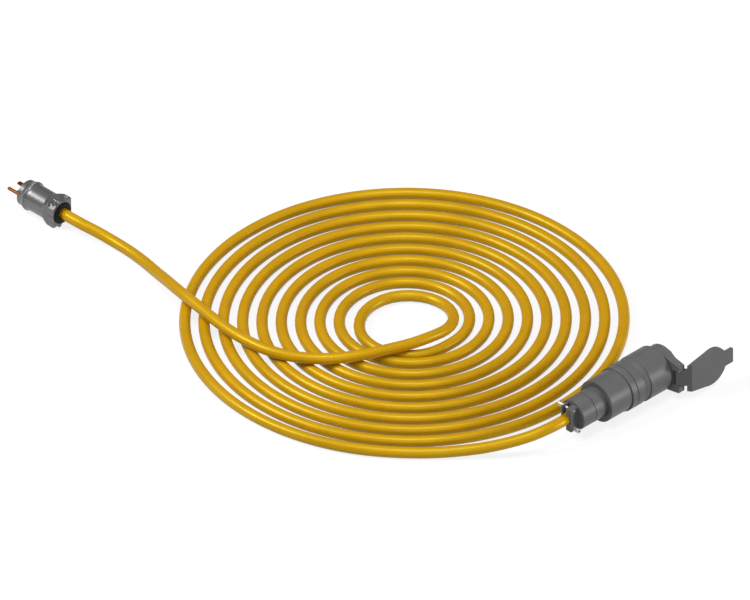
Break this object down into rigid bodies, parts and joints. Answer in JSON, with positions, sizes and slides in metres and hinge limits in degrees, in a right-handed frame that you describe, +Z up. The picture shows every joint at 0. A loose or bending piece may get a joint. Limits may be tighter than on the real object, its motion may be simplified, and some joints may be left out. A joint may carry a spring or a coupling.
{
  "type": "shore power cord",
  "caption": "Flat-coiled yellow shore power cord with a grey male plug and a dark weatherproof female connector whose hinged lid stands open.",
  "frame": {"origin": "On the floor, under the middle of the connector and its open lid.", "axes": "+Y along the connector, towards its mouth; +X towards the open lid, and the plug's prongs point to -X; +Z up from the floor the cord lies on."},
  "size_m": [0.9553, 0.6018, 0.0646],
  "materials": {
    "cord_jacket": "smooth flexible vinyl jacket, satin to glossy, golden yellow",
    "housing": "moulded, matte dark grey",
    "seal_rubber": "black, soft, matte",
    "steel": "plain steel screws and pin",
    "insulator": "moulded, pale grey-white",
    "contact_brass": "plain brass",
    "tinned_contact": "tinned brass",
    "prong_copper": "copper-coloured, satin",
    "plug_shell": "smooth, glossy grey",
    "plug_clamp": "smooth, glossy grey",
    "wire_insulation": "black insulation"
  },
  "bodies": {
    "cord_set": {"cord_coil": "cord_jacket", "cord_tail": "cord_jacket", "cord_lead": "cord_jacket", "clamp_jaw_left": "housing", "clamp_jaw_right": "housing", "clamp_screws": "steel", "strain_relief": "housing", "sealing_bushing": "seal_rubber", "gland_body": "housing", "gland_nut": "housing", "barrel": "housing", "coupling_ring": "housing", "lock_ring": "housing", "housing_seal": "seal_rubber", "front_housing": "housing", "contact_carrier": "insulator", "carrier_plate": "insulator", "carrier_screws": "steel", "contact_line": "contact_brass", "contact_neutral": "tinned_contact", "contact_ground": "contact_brass", "contact_screws": "contact_brass", "connector_conductors": "wire_insulation", "connector_jacket": "cord_jacket", "hinge_collar": "housing", "collar_screws": "steel", "socket_seal": "seal_rubber", "hinge_pin": "steel", "plug_body": "plug_shell", "plug_front_cap": "plug_shell", "plug_blade_line": "prong_copper", "plug_blade_neutral": "prong_copper", "plug_ground_pin": "prong_copper", "plug_terminal_screws": "contact_brass", "plug_assembly_screws": "steel", "plug_clamp_upper": "plug_clamp", "plug_clamp_lower": "plug_clamp", "plug_clamp_screws": "steel", "plug_grommet": "seal_rubber", "plug_conductors": "wire_insulation", "plug_jacket": "cord_jacket"},
    "lid": {"lid": "housing", "lid_gasket": "seal_rubber"}
  },
  "joints": [
    {"name": "lid_hinge", "type": "hinge", "parent": "cord_set", "child": "lid", "pos_m": [0.02775, 0.0429, 0.0323], "axis": [0, 0, 1], "range_deg": [-80, 90]}
  ]
}
